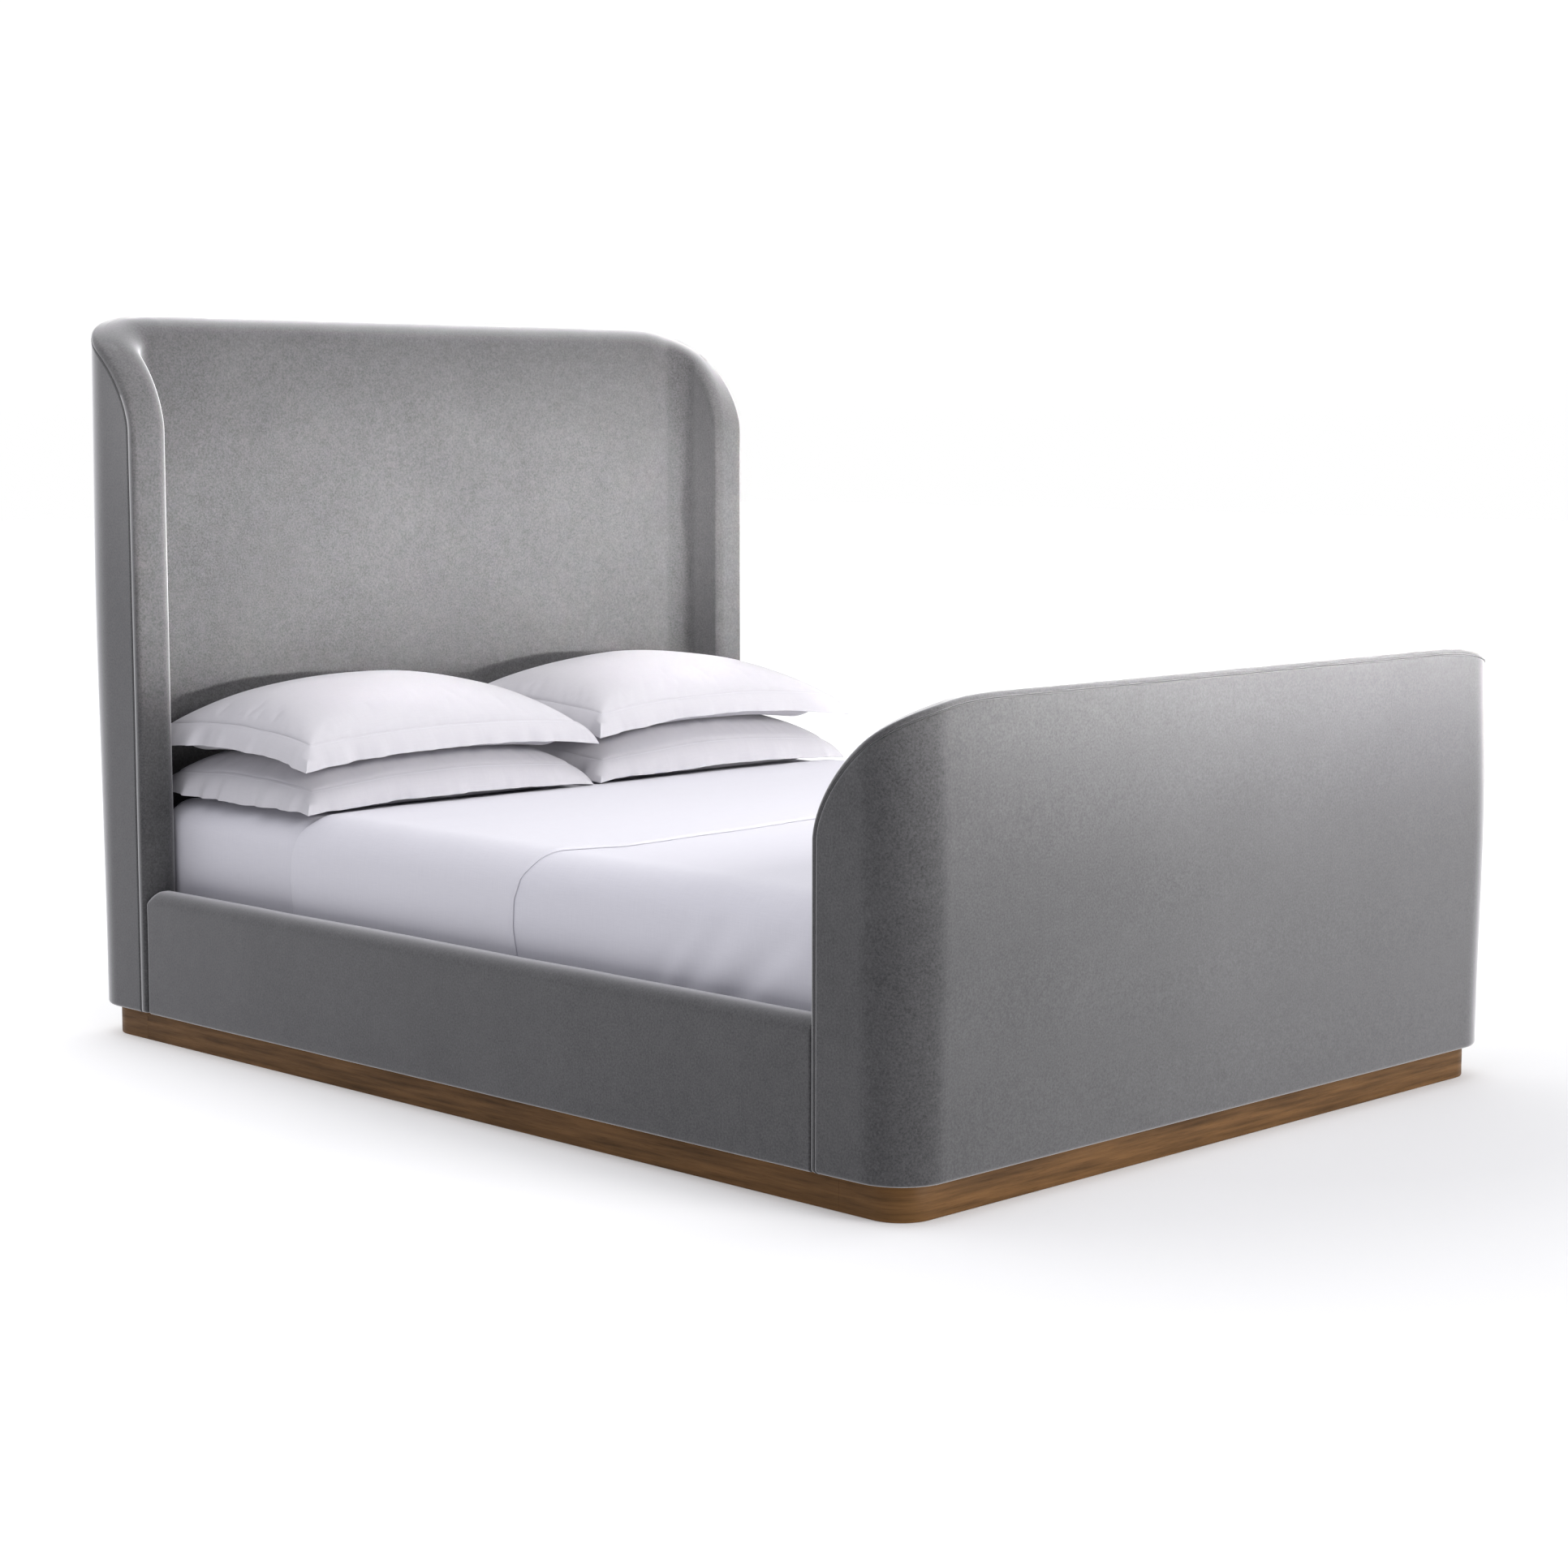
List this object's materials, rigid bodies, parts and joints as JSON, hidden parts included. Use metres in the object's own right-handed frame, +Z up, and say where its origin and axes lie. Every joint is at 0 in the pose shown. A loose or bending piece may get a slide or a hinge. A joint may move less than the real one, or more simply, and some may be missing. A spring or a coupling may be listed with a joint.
{
  "type": "upholstered wing bed",
  "caption": "Bed with padded wing headboard and matching footboard, upholstered side rails, timber plinth, slatted base, mattress, white bedding and flanged pillows.",
  "frame": {"origin": "on the floor, at the middle of the bed's width and length", "axes": "+Z up, +Y towards the head of the bed, +X towards the sleeper's left as they lie on their back, the right-hand side seen from the foot"},
  "size_m": [1.7008, 2.3392, 1.485],
  "materials": {
    "grey_upholstery": "matt short-pile fabric",
    "walnut": "satin",
    "frame_timber": "unfinished",
    "slat_timber": "sanded",
    "zinc_steel": "zinc plated",
    "glide_plastic": "matt",
    "mattress_ticking": "woven ticking",
    "white_cotton": "plain weave cotton",
    "coverlet_cotton": "plain weave cotton"
  },
  "bodies": {
    "bed_frame": {"footboard_face_cover": "grey_upholstery", "footboard_frame": "frame_timber", "footboard_outer_cover": "grey_upholstery", "footboard_rail_socket_left": "zinc_steel", "footboard_rail_socket_right": "zinc_steel", "footboard_welt": "grey_upholstery", "headboard_face_cover": "grey_upholstery", "headboard_frame": "frame_timber", "headboard_outer_cover": "grey_upholstery", "headboard_rail_socket_left": "zinc_steel", "headboard_rail_socket_right": "zinc_steel", "headboard_welt": "grey_upholstery", "beam_bracket_foot": "zinc_steel", "beam_bracket_head": "zinc_steel", "centre_beam": "slat_timber", "centre_leg_1": "slat_timber", "centre_leg_2": "slat_timber", "centre_leg_3": "slat_timber", "leg_glide_1": "glide_plastic", "leg_glide_2": "glide_plastic", "leg_glide_3": "glide_plastic", "plinth_foot": "walnut", "plinth_head": "walnut", "plinth_left": "walnut", "plinth_right": "walnut", "side_rail_left_board": "frame_timber", "side_rail_left_cover": "grey_upholstery", "side_rail_left_hook_plate_foot": "zinc_steel", "side_rail_left_hook_plate_head": "zinc_steel", "side_rail_right_board": "frame_timber", "side_rail_right_cover": "grey_upholstery", "side_rail_right_hook_plate_foot": "zinc_steel", "side_rail_right_hook_plate_head": "zinc_steel", "slat_01": "slat_timber", "slat_02": "slat_timber", "slat_03": "slat_timber", "slat_04": "slat_timber", "slat_05": "slat_timber", "slat_06": "slat_timber", "slat_07": "slat_timber", "slat_08": "slat_timber", "slat_09": "slat_timber", "slat_10": "slat_timber", "slat_11": "slat_timber", "slat_12": "slat_timber", "slat_ledge_left": "slat_timber", "slat_ledge_right": "slat_timber"},
    "made_mattress": {"mattress": "mattress_ticking", "fitted_sheet": "white_cotton", "flat_sheet": "white_cotton", "coverlet": "coverlet_cotton"},
    "left_lower_pillow": {"pillow_left_lower": "white_cotton"},
    "left_upper_pillow": {"pillow_left_upper": "white_cotton"},
    "right_lower_pillow": {"pillow_right_lower": "white_cotton"},
    "right_upper_pillow": {"pillow_right_upper": "white_cotton"}
  },
  "joints": [
    {"name": "mattress_lift", "type": "slide", "parent": "bed_frame", "child": "made_mattress", "axis": [0, 0, 1], "range_m": [0, 1.26]},
    {"name": "pillow_left_lower_lift", "type": "slide", "parent": "made_mattress", "child": "left_lower_pillow", "axis": [0, 0, 1], "range_m": [0, 1]},
    {"name": "pillow_left_upper_lift", "type": "slide", "parent": "left_lower_pillow", "child": "left_upper_pillow", "axis": [0, 0, 1], "range_m": [0, 0.9]},
    {"name": "pillow_right_lower_lift", "type": "slide", "parent": "made_mattress", "child": "right_lower_pillow", "axis": [0, 0, 1], "range_m": [0, 1]},
    {"name": "pillow_right_upper_lift", "type": "slide", "parent": "right_lower_pillow", "child": "right_upper_pillow", "axis": [0, 0, 1], "range_m": [0, 0.9]}
  ]
}
